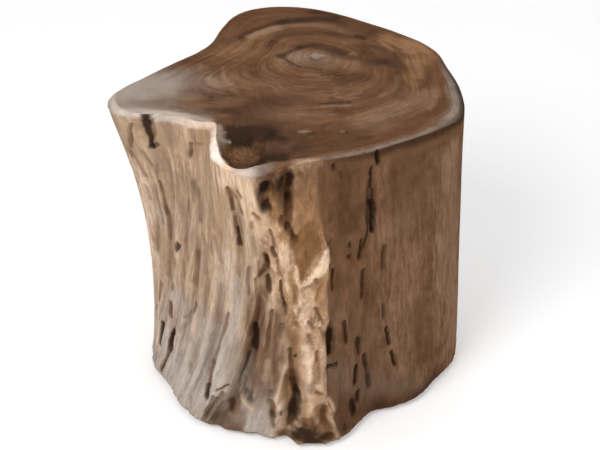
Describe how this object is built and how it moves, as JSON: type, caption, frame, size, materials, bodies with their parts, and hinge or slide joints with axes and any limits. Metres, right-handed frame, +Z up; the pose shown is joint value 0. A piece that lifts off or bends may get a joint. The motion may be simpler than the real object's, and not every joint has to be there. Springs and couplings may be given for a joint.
{
  "type": "log stool",
  "caption": "Solid log stool: a sawn and weathered trunk section with a flared lobe, a rotted pocket in the seat's rim and grooved sides, standing on screwed felt glides.",
  "frame": {"origin": "on the floor, below the middle of the stool's box", "axes": "+Z up, square to the sawn seat; -Y towards the front, the side with the rotted pocket and the rough ridge; +X to the right as seen from the front"},
  "size_m": [0.4919, 0.459, 0.45],
  "materials": {
    "wood": "weathered, unvarnished",
    "nylon": "moulded, matt",
    "felt": "pressed felt",
    "steel": "zinc plated"
  },
  "bodies": {
    "root": {"trunk": "wood", "glide_cup_front_left": "nylon", "glide_cup_front_right": "nylon", "glide_cup_back_right": "nylon", "glide_cup_back_left": "nylon", "glide_felt_front_left": "felt", "glide_felt_front_right": "felt", "glide_felt_back_right": "felt", "glide_felt_back_left": "felt", "glide_screw_front_left": "steel", "glide_screw_front_right": "steel", "glide_screw_back_right": "steel", "glide_screw_back_left": "steel"}
  },
  "joints": []
}
